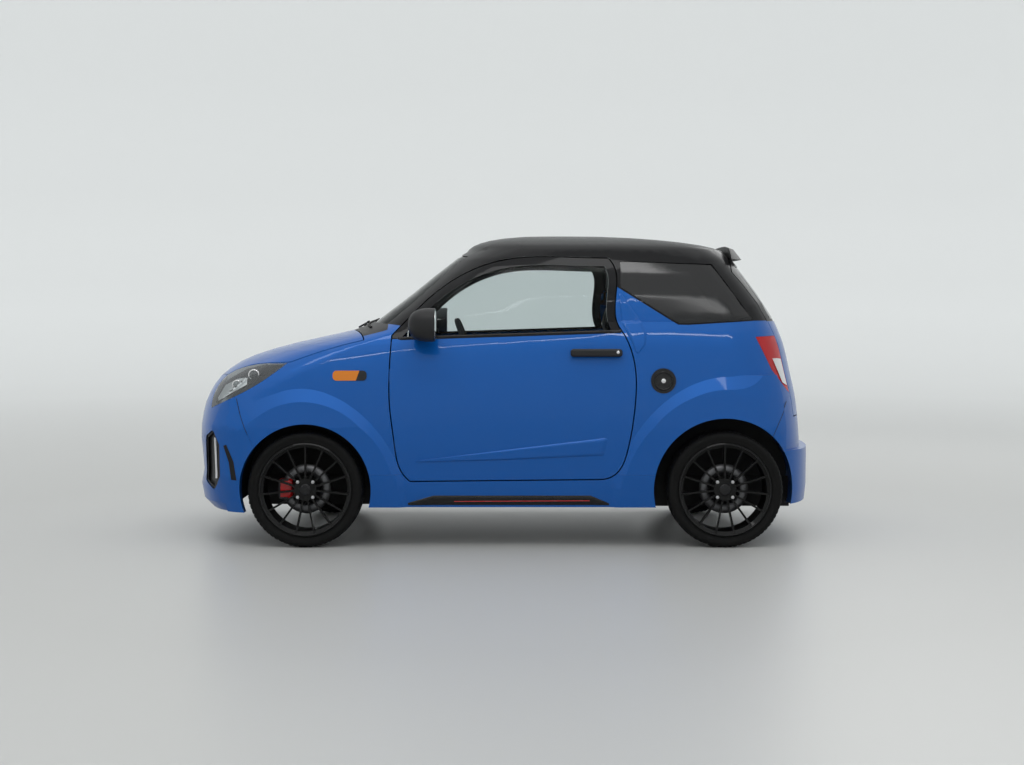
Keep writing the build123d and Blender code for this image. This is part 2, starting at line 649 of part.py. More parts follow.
def rim(x, side):
    """Alloy rim of fifteen spokes with hub and brake disc, its face on the outer side."""
    def ring(points):
        return turned([(radius, side * along) for radius, along in points], x, side * WHEEL_Y)

    body = ring([(BEAD - 8, -78), (BEAD + 15, -78), (BEAD, -71), (BEAD, 71), (BEAD + 15, 78), (BEAD + 10, 81),
                 (BEAD - 8, 66)])
    body = body + ring([(0, 30), (52, 30), (64, 50), (52, 68), (0, 68)])
    body = body + ring([(0, 8), (DISC_RADIUS, 8), (DISC_RADIUS, 20), (60, 20), (60, 31), (0, 31)])
    outline = [(50, 48), (BEAD - 4, 46), (BEAD - 4, 70), (BEAD + 8, 76.5), (BEAD + 8, 79), (BEAD - 14, 72), (50, 66)]
    points = [Vector(x, side * (WHEEL_Y + along), TYRE_RADIUS + radius) for radius, along in outline]
    spoke = extrude(make_face(Polyline(*points, close=True)), SPOKE_WIDTH / 2, dir=(1, 0, 0), both=True)
    axis = Axis((x, 0, TYRE_RADIUS), (0, 1, 0))
    body = body.fuse(*[spoke.rotate(axis, i * 360 / SPOKES) for i in range(SPOKES)])
    near, far = side * (WHEEL_Y), side * (WHEEL_Y + 58)
    return one(body - axle_drum(x, SPINDLE + SEAT, near, far))


def dashboard(inside):
    """Dashboard with the steering column."""
    profile = side_polygon([(612, 640), (420, 620), (374, 680), (372, 840), (392, 884), (440, 908), (612, 935)])
    shelf = across(profile, -640, 640) & inside
    end = Plane(origin=COLUMN_END, z_dir=COLUMN_AXIS)
    column = extrude(end * Circle(24), -260)
    return one(shelf + column)


def seat():
    """Left seat: base, cushion and raked back with a head restraint."""
    base = box((-330, 90), (DRIVER_Y - 170, DRIVER_Y + 170), (FLOOR_Z + 24 + SEAT, 330))
    cushion = box((-390, 130), (DRIVER_Y - 225, DRIVER_Y + 225), (326, 440))
    cushion = chamfer(cushion.edges(), 26)
    back = across(side_polygon([(-300, 400), (-430, 400), (-575, 960), (-480, 980)]), DRIVER_Y - 225, DRIVER_Y + 225)
    back = chamfer(back.edges(), 22)
    head = across(side_polygon([(-505, 985), (-580, 975), (-610, 1130), (-535, 1140)]), DRIVER_Y - 120, DRIVER_Y + 120)
    head = chamfer(head.edges(), 18)
    posts = [rod((-540, DRIVER_Y + y, 940), (-555, DRIVER_Y + y, 1010), 7) for y in (-50, 50)]
    return one(base + cushion + back + head + posts[0] + posts[1])


def steering_wheel():
    """Rim, hub and three spokes, square to the column."""
    plane = Plane(origin=COLUMN_END, z_dir=COLUMN_AXIS)
    section = Pos(165, 0) * RegularPolygon(14, 8)
    wheel = plane * Pos(0, 0, 38) * revolve(Plane.XZ * section, Axis.Z)
    wheel = wheel + plane * Pos(0, 0, SEAT) * Cylinder(34, 46, align=(Align.CENTER, Align.CENTER, Align.MIN))
    for angle in (0, 180, 270):
        wheel = wheel + plane * Rot(0, 0, angle) * Pos(95, 0, 36) * Box(140, 26, 10)
    return wheel


def parcel_shelf(inside):
    return one(box((-1270, -680), (-690, 690), (898, 912)) & inside)


def build():
    """All pieces by node name."""
    lower, upper = body_shells()
    shell = lower + upper
    layer = glass_layer()
    front = lower - upper_body(-SEAT, -SEAT, -SEAT, -SEAT)
    inside = cavity()
    parts = {}
    pairs = {}
    parts["front_bumper"], lamp = front_end(front)
    grille, fog = inserts()
    parts["grille"] = Compound([grille, fog, flipped(fog)])
    parts["headlamps"] = Compound([lamp, flipped(lamp)])
    parts["bonnet"] = one(front & bonnet_prism())
    parts["cowl"] = cowl(front)
    pairs["fender"] = fender(front)
    pairs["quarter"] = quarter(shell)
    sill_piece = sill(lower)
    parts["sills"] = Compound([sill_piece, flipped(sill_piece)])
    parts["roof"], pairs["side_frame"], parts["screen_rail"] = roof_frame(upper)
    parts["windscreen"] = windscreen(layer)
    pane = quarter_glass(layer)
    parts["quarter_glass"] = Compound([pane, flipped(pane)])
    parts["tailgate"], parts["tailgate_glass"] = tailgate(shell, layer)
    parts["spoiler"] = spoiler()
    parts["rear_bumper"] = rear_bumper(lower)
    lamp = tail_lamp(shell)
    parts["tail_lamps"] = Compound([lamp, flipped(lamp)])
    lamp = side_indicator()
    parts["side_indicators"] = Compound([lamp, flipped(lamp)])
    parts["fuel_cap"] = fuel_cap()
    pairs["door"], pairs["door_glass"], pairs["handle"] = doors(shell, layer)
    pairs["mirror"] = mirror_housing(pairs["door"], pairs["door_glass"])
    parts["floor_pan"] = floor_pan(inside)
    liners = [arch_liner(FRONT_AXLE, FRONT_ARCH_RADIUS, FRONT_LINER_Y, inside)]
    liners.append(arch_liner(REAR_AXLE, REAR_ARCH_RADIUS, REAR_LINER_Y, inside))
    parts["arch_liners"] = Compound(liners + [flipped(piece) for piece in liners])
    parts["engine_block"] = engine()
    parts["front_subframe"] = subframe()
    parts["rear_axle"] = rear_axle()
    pairs["knuckle"] = knuckle()
    for end, x in (("front", FRONT_AXLE), ("rear", REAR_AXLE)):
        for name, side in (("left", 1), ("right", -1)):
            parts[f"tyre_{end}_{name}"] = tyre(x, side)
            parts[f"rim_{end}_{name}"] = rim(x, side)
    parts["dashboard"] = dashboard(inside)
    left_seat = seat()
    parts["seats"] = Compound([left_seat, flipped(left_seat)])
    parts["steering_wheel"] = steering_wheel()
    parts["parcel_shelf"] = parcel_shelf(inside)
    for name, piece in pairs.items():
        parts[f"{name}_left"] = piece
        parts[f"{name}_right"] = flipped(piece)
    return parts


def write(parts):
    os.makedirs("parts", exist_ok=True)
    for name, shape in parts.items():
        export_step(shape, f"parts/{name}.step")


write(build())
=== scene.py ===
"""Studio scene of the microcar: CAD frame dressed with paint, glass, rubber, lamps, trim and upholstery."""
import math

import bmesh
import bpy
from mathutils import Matrix, Vector
from mathutils.bvhtree import BVHTree


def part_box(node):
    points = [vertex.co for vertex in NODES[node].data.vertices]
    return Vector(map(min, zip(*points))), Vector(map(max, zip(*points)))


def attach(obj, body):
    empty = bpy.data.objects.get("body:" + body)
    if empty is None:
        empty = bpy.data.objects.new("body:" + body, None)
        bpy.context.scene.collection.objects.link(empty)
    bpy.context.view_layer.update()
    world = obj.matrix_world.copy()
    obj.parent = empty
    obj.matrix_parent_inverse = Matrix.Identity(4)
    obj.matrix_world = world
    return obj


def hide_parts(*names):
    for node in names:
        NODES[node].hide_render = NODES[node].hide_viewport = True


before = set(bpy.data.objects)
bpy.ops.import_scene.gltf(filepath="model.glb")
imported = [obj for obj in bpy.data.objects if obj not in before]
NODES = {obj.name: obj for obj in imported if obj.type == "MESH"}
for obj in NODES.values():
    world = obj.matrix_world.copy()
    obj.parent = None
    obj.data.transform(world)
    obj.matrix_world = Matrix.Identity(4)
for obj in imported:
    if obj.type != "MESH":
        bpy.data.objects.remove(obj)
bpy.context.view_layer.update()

MM = 0.001
FRONT_AXLE = Vector((0.926, 0, 0.269))
REAR_AXLE = Vector((-1.025, 0, 0.269))
WHEEL_Y = 0.640
TYRE_R = 0.269
SIDES = (("left", 1), ("right", -1))
ENDS = (("front", FRONT_AXLE), ("rear", REAR_AXLE))


# Materials

def new_material(name):
    """Material with its Principled shader and node helpers."""
    material = bpy.data.materials.new(name)
    material.use_nodes = True
    return material, material.node_tree.nodes, material.node_tree.links


def shader_of(nodes):
    return nodes["Principled BSDF"]


def add_noise_bump(nodes, links, scale, strength, distance=0.0004, detail=4.0):
    """Fine surface relief from noise in the object's own frame."""
    place = nodes.new("ShaderNodeTexCoord")
    noise = nodes.new("ShaderNodeTexNoise")
    noise.inputs["Scale"].default_value = scale
    noise.inputs["Detail"].default_value = detail
    bump = nodes.new("ShaderNodeBump")
    bump.inputs["Strength"].default_value = strength
    bump.inputs["Distance"].default_value = distance
    links.new(place.outputs["Object"], noise.inputs["Vector"])
    links.new(noise.outputs["Fac"], bump.inputs["Height"])
    links.new(bump.outputs["Normal"], shader_of(nodes).inputs["Normal"])
    return noise


def vary_colour(nodes, links, noise, low, high, target="Base Color"):
    """Colour that drifts between two values with a noise."""
    ramp = nodes.new("ShaderNodeValToRGB")
    ramp.color_ramp.elements[0].color = (*low, 1)
    ramp.color_ramp.elements[1].color = (*high, 1)
    links.new(noise.outputs["Fac"], ramp.inputs["Fac"])
    links.new(ramp.outputs["Color"], shader_of(nodes).inputs[target])
    return ramp


def paint(name, low, high, flake=0.25, roughness=0.3, coat=1.0, specular=0.08):
    """Two-coat car paint: flake in the base under a clear coat."""
    material, nodes, links = new_material(name)
    shader = shader_of(nodes)
    noise = add_noise_bump(nodes, links, 900, 0.02, 0.0001, 2)
    vary_colour(nodes, links, noise, low, high)
    shader.inputs["Metallic"].default_value = flake
    shader.inputs["Roughness"].default_value = roughness
    shader.inputs["Specular IOR Level"].default_value = specular
    shader.inputs["Coat Weight"].default_value = coat
    shader.inputs["Coat Roughness"].default_value = 0.03
    return material


def plastic(name, low, high, roughness=0.5, scale=700, strength=0.25, specular=0.3):
    """Moulded plastic with a fine grain."""
    material, nodes, links = new_material(name)
    noise = add_noise_bump(nodes, links, scale, strength)
    vary_colour(nodes, links, noise, low, high)
    shader = shader_of(nodes)
    shader.inputs["Roughness"].default_value = roughness
    shader.inputs["Specular IOR Level"].default_value = specular
    return material


def metal(name, low, high, roughness, scale=300):
    material, nodes, links = new_material(name)
    noise = add_noise_bump(nodes, links, scale, 0.1, 0.0002)
    vary_colour(nodes, links, noise, low, high)
    shader = shader_of(nodes)
    shader.inputs["Metallic"].default_value = 0.9
    shader.inputs["Roughness"].default_value = roughness
    return material


def glass(name, tint, alpha, roughness=0.0):
    """Thin tinted glazing: a see-through tint under a mirror-smooth coat."""
    material, nodes, links = new_material(name)
    shader = shader_of(nodes)
    shader.inputs["Base Color"].default_value = (*tint, 1)
    shader.inputs["Roughness"].default_value = roughness
    shader.inputs["Specular IOR Level"].default_value = 0.6
    clear = nodes.new("ShaderNodeBsdfTransparent")
    clear.inputs["Color"].default_value = (0.94, 0.97, 0.97, 1)
    mix = nodes.new("ShaderNodeMixShader")
    fresnel = nodes.new("ShaderNodeFresnel")
    fresnel.inputs["IOR"].default_value = 1.5
    add = nodes.new("ShaderNodeMath")
    add.operation = "ADD"
    add.use_clamp = True
    add.inputs[1].default_value = alpha
    links.new(fresnel.outputs["Fac"], add.inputs[0])
    links.new(add.outputs["Value"], mix.inputs["Fac"])
    links.new(clear.outputs["BSDF"], mix.inputs[1])
    links.new(shader.outputs["BSDF"], mix.inputs[2])
    links.new(mix.outputs["Shader"], nodes["Material Output"].inputs["Surface"])
    return material


def lamp_plastic(name, colour, alpha=0.55):
    """Coloured lamp cover, glossy and part clear."""
    material = glass(name, colour, alpha, 0.03)
    material.node_tree.nodes["Transparent BSDF"].inputs["Color"].default_value = (*colour, 1)
    return material


def fabric(name, low, high):
    """Woven upholstery: crossed threads as bump and colour."""
    material, nodes, links = new_material(name)
    place = nodes.new("ShaderNodeTexCoord")
    weave = nodes.new("ShaderNodeTexVoronoi")
    weave.inputs["Scale"].default_value = 420
    ramp = nodes.new("ShaderNodeValToRGB")
    ramp.color_ramp.elements[0].color = (*high, 1)
    ramp.color_ramp.elements[1].color = (*low, 1)
    bump = nodes.new("ShaderNodeBump")
    bump.inputs["Strength"].default_value = 0.5
    bump.inputs["Distance"].default_value = 0.0006
    shader = shader_of(nodes)
    links.new(place.outputs["Object"], weave.inputs["Vector"])
    links.new(weave.outputs["Distance"], ramp.inputs["Fac"])
    links.new(weave.outputs["Distance"], bump.inputs["Height"])
    links.new(ramp.outputs["Color"], shader.inputs["Base Color"])
    links.new(bump.outputs["Normal"], shader.inputs["Normal"])
    shader.inputs["Roughness"].default_value = 0.9
    shader.inputs["Sheen Weight"].default_value = 0.3
    return material


def above_line(name, low_material, high_material, start, end):
    """Two finishes parted by a line in the side view, from X, Z start to end."""
    material, nodes, links = new_material(name)
    nodes.remove(shader_of(nodes))
    place = nodes.new("ShaderNodeTexCoord")
    split = nodes.new("ShaderNodeSeparateXYZ")
    slope = (end[1] - start[1]) / (end[0] - start[0])
    line = nodes.new("ShaderNodeMath")
    line.operation = "MULTIPLY_ADD"
    line.inputs[1].default_value = slope
    line.inputs[2].default_value = start[1] - slope * start[0]
    over = nodes.new("ShaderNodeMath")
    over.operation = "GREATER_THAN"
    mix = nodes.new("ShaderNodeMixShader")
    links.new(place.outputs["Object"], split.inputs["Vector"])
    links.new(split.outputs["X"], line.inputs[0])
    links.new(split.outputs["Z"], over.inputs[0])
    links.new(line.outputs["Value"], over.inputs[1])
    links.new(over.outputs["Value"], mix.inputs["Fac"])
    for slot, source in ((1, low_material), (2, high_material)):
        group = nodes.new("ShaderNodeGroup")
        group.node_tree = as_group(source)
        links.new(group.outputs["Surface"], mix.inputs[slot])
    links.new(mix.outputs["Shader"], nodes["Material Output"].inputs["Surface"])
    return material


def as_group(material):
    """Copy of a material's shader as a node group."""
    tree = bpy.data.node_groups.new(f"{material.name}_group", "ShaderNodeTree")
    tree.interface.new_socket("Surface", in_out="OUTPUT", socket_type="NodeSocketShader")
    copies = {}
    for node in material.node_tree.nodes:
        if node.type == "OUTPUT_MATERIAL":
            continue
        copy = tree.nodes.new(node.bl_idname)
        for prop in ("operation", "use_clamp"):
            if hasattr(node, prop):
                setattr(copy, prop, getattr(node, prop))
        for source, target in zip(node.inputs, copy.inputs):
            if hasattr(source, "default_value"):
                target.default_value = source.default_value
        if node.type == "VALTORGB":
            for a, b in zip(node.color_ramp.elements, copy.color_ramp.elements):
                b.position, b.color = a.position, a.color
        copies[node.name] = copy
    out = tree.nodes.new("NodeGroupOutput")
    for link in material.node_tree.links:
        source = copies[link.from_node.name].outputs[link.from_socket.name]
        if link.to_node.type == "OUTPUT_MATERIAL":
            tree.links.new(source, out.inputs["Surface"])
        else:
            index = list(link.to_node.inputs).index(link.to_socket)
            tree.links.new(source, copies[link.to_node.name].inputs[index])
    return tree


BLUE = paint("paint_blue", (0.002, 0.082, 0.345), (0.004, 0.100, 0.395), 0.30, 0.34, 0.5)
BLACK_PAINT = paint("paint_black", (0.004, 0.004, 0.005), (0.007, 0.007, 0.008), 0.0, 0.4, 0.22)
BLACK_RIM = paint("rim_black", (0.003, 0.003, 0.003), (0.005, 0.005, 0.005), 0.0, 0.35, 0.25)
RED_PAINT = paint("paint_red", (0.45, 0.010, 0.012), (0.52, 0.014, 0.016), 0.0, 0.3, 0.6)
TRIM = plastic("trim_black", (0.010, 0.010, 0.011), (0.018, 0.018, 0.019), 0.45)
GLOSS_TRIM = plastic("trim_gloss", (0.006, 0.006, 0.007), (0.009, 0.009, 0.010), 0.12, 200, 0.02)
CABIN = plastic("cabin_plastic", (0.016, 0.016, 0.018), (0.028, 0.028, 0.030), 0.6, 500, 0.4)
SEAL = plastic("seal_rubber", (0.006, 0.006, 0.006), (0.010, 0.010, 0.010), 0.7)
RUBBER = plastic("tyre_rubber", (0.003, 0.003, 0.003), (0.006, 0.006, 0.006), 0.68, 260, 0.3, 0.15)
DISC = metal("brake_disc", (0.10, 0.10, 0.105), (0.16, 0.16, 0.165), 0.4)
STEEL = metal("bare_steel", (0.42, 0.42, 0.43), (0.56, 0.56, 0.57), 0.32)
BRIGHT = metal("bright_metal", (0.75, 0.75, 0.76), (0.82, 0.82, 0.83), 0.08)
DARK_STEEL = metal("dark_steel", (0.03, 0.03, 0.032), (0.05, 0.05, 0.052), 0.55)
REFLECTOR = metal("lamp_reflector", (0.80, 0.80, 0.81), (0.88, 0.88, 0.89), 0.42)
CAST = metal("cast_alloy", (0.16, 0.16, 0.17), (0.24, 0.24, 0.25), 0.6)
GLAZING = glass("glazing", (0.010, 0.012, 0.013), 0.04)
PRIVACY = glass("privacy_glazing", (0.004, 0.004, 0.005), 0.78, 0.12)
CLEAR = glass("lamp_clear", (0.50, 0.52, 0.54), 0.10)
RED_LAMP = lamp_plastic("lamp_red", (0.62, 0.008, 0.014), 0.6)
AMBER = lamp_plastic("lamp_amber", (0.85, 0.26, 0.015), 0.7)
CLOTH = fabric("seat_cloth", (0.014, 0.014, 0.016), (0.045, 0.045, 0.050))
FLOOR_PAINT = plastic("underbody", (0.016, 0.016, 0.017), (0.026, 0.026, 0.027), 0.7)
DOOR_SKIN = above_line("door_skin", BLUE, BLACK_PAINT, (0.560, 0.966), (-0.560, 1.001))
TAILGATE_SKIN = above_line("tailgate_skin", BLUE, BLACK_PAINT, (0.0, 1.050), (-2.0, 1.050))
INDICATOR_LOW, INDICATOR_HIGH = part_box("side_indicators")
INDICATOR_SKIN = above_line("indicator_skin", TRIM, AMBER, (INDICATOR_LOW.x + 0.050, INDICATOR_LOW.z),
                            (INDICATOR_LOW.x + 0.034, INDICATOR_HIGH.z))
WHITE_LAMP = lamp_plastic("lamp_white", (0.80, 0.80, 0.82), 0.75)


# CAD nodes: finishes and smooth shading

NODE_FINISH = {
    "front_bumper": BLUE, "bonnet": BLUE, "fender_left": BLUE, "fender_right": BLUE, "quarter_left": BLUE,
    "quarter_right": BLUE, "sills": BLUE, "rear_bumper": BLUE, "tailgate": TAILGATE_SKIN, "roof": BLACK_PAINT,
    "side_frame_left": BLACK_PAINT, "side_frame_right": BLACK_PAINT, "screen_rail": TRIM, "spoiler": TRIM,
    "door_left": DOOR_SKIN, "door_right": DOOR_SKIN, "grille": TRIM, "cowl": TRIM, "headlamps": CLEAR,
    "tail_lamps": RED_LAMP, "side_indicators": INDICATOR_SKIN, "fuel_cap": TRIM, "windscreen": GLAZING,
    "quarter_glass": PRIVACY, "tailgate_glass": PRIVACY, "door_glass_left": GLAZING,
    "door_glass_right": GLAZING, "handle_left": TRIM, "handle_right": TRIM, "mirror_left": TRIM,
    "mirror_right": TRIM, "floor_pan": FLOOR_PAINT,
    "arch_liners": SEAL, "engine_block": CAST, "front_subframe": DARK_STEEL, "rear_axle": DARK_STEEL,
    "dashboard": CABIN, "seats": CLOTH, "steering_wheel": CABIN, "parcel_shelf": CABIN,
    "knuckle_left": DARK_STEEL, "knuckle_right": DARK_STEEL,
}


def dress_node(name, material, crease=28.0):
    """Finish on a CAD node, with its seams welded and soft edges shaded smooth."""
    node = NODES[name]
    mesh = node.data
    mesh.materials.clear()
    mesh.materials.append(material)
    if "custom_normal" in mesh.attributes:
        mesh.attributes.remove(mesh.attributes["custom_normal"])
    mesh.polygons.foreach_set("material_index", [0] * len(mesh.polygons))
    mesh.polygons.foreach_set("use_smooth", [True] * len(mesh.polygons))
    weld = node.modifiers.new("weld", "WELD")
    weld.merge_threshold = 0.00008
    split = node.modifiers.new("split", "EDGE_SPLIT")
    split.split_angle = math.radians(crease)
    split.use_edge_sharp = False
    normals = node.modifiers.new("normals", "WEIGHTED_NORMAL")
    normals.keep_sharp = True


FLARED = ("fender_left", "fender_right", "quarter_left", "quarter_right")
for node_name, finish in NODE_FINISH.items():
    dress_node(node_name, finish, 13.0 if node_name in FLARED else 28.0)
for end, _ in ENDS:
    for side, _ in SIDES:
        dress_node(f"tyre_{end}_{side}", RUBBER)
        dress_node(f"rim_{end}_{side}", BLACK_RIM)


# Tools for added pieces

def add_piece(name, points, faces, material, body, smooth=True):
    """Mesh piece in the row frame that rides on a body."""
    mesh = bpy.data.meshes.new(name)
    mesh.from_pydata(points, [], faces)
    bm = bmesh.new()
    bm.from_mesh(mesh)
    bmesh.ops.recalc_face_normals(bm, faces=bm.faces)
    bm.to_mesh(mesh)
    bm.free()
    mesh.materials.append(material)
    mesh.polygons.foreach_set("use_smooth", [smooth] * len(mesh.polygons))
    piece = bpy.data.objects.new(name, mesh)
    bpy.context.collection.objects.link(piece)
    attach(piece, body)
    return piece


def crisp(piece, width=0.002, segments=2, angle=40.0):
    """Small rounded edges and split normals on a piece."""
    bevel = piece.modifiers.new("bevel", "BEVEL")
    bevel.width = width
    bevel.segments = segments
    bevel.limit_method = "ANGLE"
    bevel.angle_limit = math.radians(angle)
    split = piece.modifiers.new("split", "EDGE_SPLIT")
    split.split_angle = math.radians(angle)
    return piece


def grid_faces(rows, columns, wrap_rows=False, wrap_columns=False):
    """Quads of a grid whose points run along columns first."""
    faces = []
    for i in range(rows if wrap_rows else rows - 1):
        for j in range(columns if wrap_columns else columns - 1):
            k, m = (i + 1) % rows, (j + 1) % columns
            faces.append((i * columns + j, i * columns + m, k * columns + m, k * columns + j))
    return faces


def turned_points(profile, centre, segments):
    """Points of a profile of radius, Y turned round a wheel's axis; profile may depend on the step."""
    points = []
    for i in range(segments):
        angle = 2 * math.pi * i / segments
        for radius, along in (profile(i) if callable(profile) else profile):
            points.append((centre.x + radius * math.cos(angle), centre.y + along,
                           centre.z + radius * math.sin(angle)))
    return points


def turned_piece(name, profile, centre, segments, material, body, closed=True):
    count = len(profile(0) if callable(profile) else profile)
    faces = grid_faces(segments, count, True, closed)
    return add_piece(name, turned_points(profile, centre, segments), faces, material, body)


def box_piece(name, low, high, material, body, bevel=0.003):
    corners = [(x, y, z) for x in (low[0], high[0]) for y in (low[1], high[1]) for z in (low[2], high[2])]
    faces = [(0, 1, 3, 2), (4, 6, 7, 5), (0, 4, 5, 1), (2, 3, 7, 6), (0, 2, 6, 4), (1, 5, 7, 3)]
    return crisp(add_piece(name, corners, faces, material, body), bevel, 3)


def tube_piece(name, points, radius, material, body):
    """Round bar along a smooth line, as a mesh."""
    curve = bpy.data.curves.new(name, "CURVE")
    curve.dimensions = "3D"
    curve.bevel_depth = radius
    curve.bevel_resolution = 3
    curve.use_fill_caps = True
    spline = curve.splines.new("NURBS")
    spline.points.add(len(points) - 1)
    for target, point in zip(spline.points, points):
        target.co = (*point, 1)
    spline.order_u = 3
    spline.use_endpoint_u = True
    holder = bpy.data.objects.new(f"{name}_line", curve)
    bpy.context.collection.objects.link(holder)
    mesh = bpy.data.meshes.new_from_object(holder.evaluated_get(bpy.context.evaluated_depsgraph_get()))
    bpy.data.objects.remove(holder)
    mesh.materials.clear()
    mesh.materials.append(material)
    piece = bpy.data.objects.new(name, mesh)
    bpy.context.collection.objects.link(piece)
    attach(piece, body)
    return piece


def skin_of(*names):
    """Ray-cast tree over CAD nodes at rest."""
    points, faces = [], []
    for name in names:
        mesh = NODES[name].data
        base = len(points)
        points += [v.co.copy() for v in mesh.vertices]
        faces += [tuple(base + v for v in polygon.vertices) for polygon in mesh.polygons]
    return BVHTree.FromPolygons(points, faces)


def skin_y(tree, x, z, sign):
    """Y of the body's outside at X, Z on one side, looking past narrow gaps."""
    found = []
    for dx, dz in ((0, 0), (0.004, 0), (-0.004, 0), (0, 0.004), (0, -0.004)):
        hit = tree.ray_cast(Vector((x + dx, sign * 1.5, z + dz)), Vector((0, -sign, 0)))[0]
        if hit:
            found.append(sign * hit.y)
            if not dx and not dz and sign * hit.y > 0.6:
                break
    return sign * max(found) if found else None


def along(line, t):
    """Point at a share of a line's length."""
    spans = [math.dist(a, b) for a, b in zip(line, line[1:])]
    left = t * sum(spans)
    for span, a, b in zip(spans, line, line[1:]):
        if left <= span or b == line[-1]:
            f = min(left / span, 1.0)
            return tuple(p + (q - p) * f for p, q in zip(a, b))
        left -= span


def patch(name, tree, sign, top, bottom, lift, material, body, columns=40, rows=6, round_edge=True):
    """Trim laid on the side of the body between two side-view lines, raised by a lift."""
    points = []
    last = None
    for i in range(columns + 1):
        upper, lower = along(top, i / columns), along(bottom, i / columns)
        for j in range(rows + 1):
            v = j / rows
            x, z = (a + (b - a) * v for a, b in zip(upper, lower))
            y = skin_y(tree, x, z, sign)
            last = y if y is not None else last
            edge = min(i, columns - i, j, rows - j)
            rise = lift if not round_edge or edge > 0 else -0.0006
            points.append((x, last + sign * rise, z))
    return add_piece(name, points, grid_faces(columns + 1, rows + 1), material, body)


def seam(name, tree, sign, line, width, material, body, lift=0.00025):
    """Narrow dark line on the body along a side-view line."""
    half = width / 2
    normals = []
    for i, point in enumerate(line):
        a, b = line[max(i - 1, 0)], line[min(i + 1, len(line) - 1)]
        length = math.dist(a, b)
        normals.append((-(b[1] - a[1]) / length, (b[0] - a[0]) / length))
    top = [(x + n[0] * half, z + n[1] * half) for (x, z), n in zip(line, normals)]
    bottom = [(x - n[0] * half, z - n[1] * half) for (x, z), n in zip(line, normals)]
    return patch(name, tree, sign, top, bottom, lift, material, body, 60, 1, False)


# Wheels

TREAD_STEPS = 280
GROOVE_DEPTH = 0.007
GROOVES = (-0.038, -0.013, 0.013, 0.038)
GROOVE_TOP_HALF = 0.0045
GROOVE_FLOOR_HALF = 0.003
SIDEWALL = [(0.2045, 0.069), (0.216, 0.0715), (0.222, 0.077), (0.226, 0.0762), (0.236, 0.0805),
            (0.247, 0.0823), (0.256, 0.0805), (0.2625, 0.0755), (0.2665, 0.068), (0.2685, 0.060)]
BRAKE_FACE = [(0.064, 0.0202), (0.1145, 0.0202), (0.1145, 0.0207), (0.064, 0.0207)]
WHEEL_CAP = [(0.0, 0.0720), (0.012, 0.0718), (0.023, 0.0706), (0.027, 0.0686), (0.027, 0.066)]
RIM_LIP = [(0.2085, 0.0803), (0.2165, 0.0786), (0.2172, 0.0792), (0.2090, 0.0809)]
WHEEL_BOLT = [(0.0, 0.0735), (0.0065, 0.0735), (0.0085, 0.0725), (0.0085, 0.066)]
BOLT_COUNT = 4
BOLT_CIRCLE = 0.05
# Dark sheets as painted shade seen through the wheels: Y of each sheet and its X spans per end.
WHEELHOUSE_SHADE_SHEETS = {"front": (0.397, ((0.622, 0.852), (1.004, 1.236))),
          "rear": (0.471, ((-1.362, -1.076), (-0.974, -0.690)))}
SHADE_SHEET_WALL = 0.005


def tyre_profile(step):
    """Section of the tyre at a step round it; shoulder blocks are parted at every fourth step."""
    rows = [(radius, -y) for radius, y in SIDEWALL]
    cut = GROOVE_DEPTH * 0.35 if step % 4 == 0 else 0.0
    rows = [(radius - (cut if radius > 0.262 else 0), y) for radius, y in rows]
    tread = []
    for groove in GROOVES:
        inner = cut if abs(groove) > 0.03 else 0.0
        near = TYRE_R - (inner if groove < 0 else 0.0)
        away = TYRE_R - (inner if groove > 0 else 0.0)
        tread += [(near, groove - GROOVE_TOP_HALF), (TYRE_R - GROOVE_DEPTH, groove - GROOVE_FLOOR_HALF),
                  (TYRE_R - GROOVE_DEPTH, groove + GROOVE_FLOOR_HALF), (away, groove + GROOVE_TOP_HALF)]
    far = [(radius, -y) for radius, y in reversed(rows)]
    return rows + tread + far


def build_tyre(end, axle, side, sign):
    centre = Vector((axle.x, sign * WHEEL_Y, axle.z))
    name = f"tyre_{end}_{side}_tread"
    tyre = turned_piece(name, tyre_profile, centre, TREAD_STEPS, RUBBER, f"wheel_{end}_{side}")
    split = tyre.modifiers.new("split", "EDGE_SPLIT")
    split.split_angle = math.radians(35)
    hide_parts(f"tyre_{end}_{side}")


def build_wheel_details(end, axle, side, sign):
    """Brake face, cap, rim lip and bolts on one wheel."""
    body = f"wheel_{end}_{side}"
    centre = Vector((axle.x, sign * WHEEL_Y, axle.z))

    def ring(points):
        return [(radius, sign * y) for radius, y in points]

    turned_piece(f"brake_face_{end}_{side}", ring(BRAKE_FACE), centre, 64, DISC, body)
    turned_piece(f"cap_{end}_{side}", ring(WHEEL_CAP), centre, 40, GLOSS_TRIM, body, False)
    turned_piece(f"lip_{end}_{side}", ring(RIM_LIP), centre, 96, GLOSS_TRIM, body)
    for i in range(BOLT_COUNT):
        angle = math.radians(45 + 90 * i)
        spot = centre + Vector((BOLT_CIRCLE * math.cos(angle), 0, BOLT_CIRCLE * math.sin(angle)))
        turned_piece(f"bolt_{end}_{side}_{i}", ring(WHEEL_BOLT), spot, 6, STEEL, body, False)


def build_caliper(side, sign):
    """Red caliper over the knuckle's plain one."""
    low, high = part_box(f"knuckle_{side}")
    outer = sorted((sign * 0.6255, sign * 0.6805))
    start = (high.x - 0.0665, outer[0], 0.2215)
    end = (high.x + 0.0005, outer[1], 0.3165)
    box_piece(f"caliper_{side}", start, end, RED_PAINT, f"knuckle_{side}", 0.012)


def build_shade_sheets(side, sign):
    """Dark sheets that close the wheelhouses below their walls, open at shafts and beam, as painted shade
    behind the wheels.
    """
    for name, (y, spans) in WHEELHOUSE_SHADE_SHEETS.items():
        low, high = sorted((sign * y, sign * (y + SHADE_SHEET_WALL)))
        for i, (start, end) in enumerate(spans):
            box_piece(f"skirt_{name}_{side}_{i}", (start, low, 0.165), (end, high, 0.3105), SEAL,
                      "body", 0.002)


